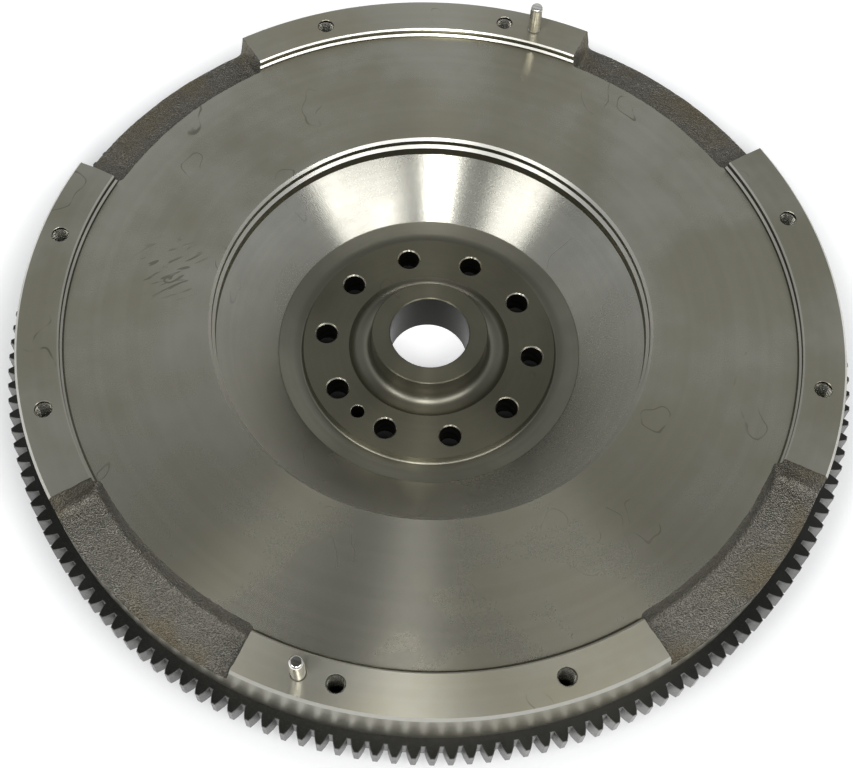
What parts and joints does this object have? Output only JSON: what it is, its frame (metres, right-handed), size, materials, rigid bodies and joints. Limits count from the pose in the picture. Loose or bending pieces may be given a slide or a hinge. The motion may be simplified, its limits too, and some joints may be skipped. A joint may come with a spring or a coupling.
{
  "type": "flywheel",
  "caption": "Heavy truck clutch flywheel with a shrunk-on starter ring gear, raised clutch pads with dowel pins and a bolted crank flange.",
  "frame": {"origin": "centre of the rear face that bolts to the crankshaft, on the shaft's axis", "axes": "+Z along the crankshaft's axis towards the clutch; +X and +Y through the middles of two neighbouring clutch pads"},
  "size_m": [0.498, 0.498, 0.0775],
  "materials": {
    "machined_casting": "grey iron, finely turned on the working faces and as cast between the pads",
    "ring_gear_steel": "dark hardened steel with lighter cut flanks",
    "pin_steel": "ground and polished"
  },
  "bodies": {
    "root": {"flywheel_body": "machined_casting", "starter_ring_gear": "ring_gear_steel", "clutch_dowel_pin_1": "pin_steel", "clutch_dowel_pin_2": "pin_steel"}
  },
  "joints": []
}
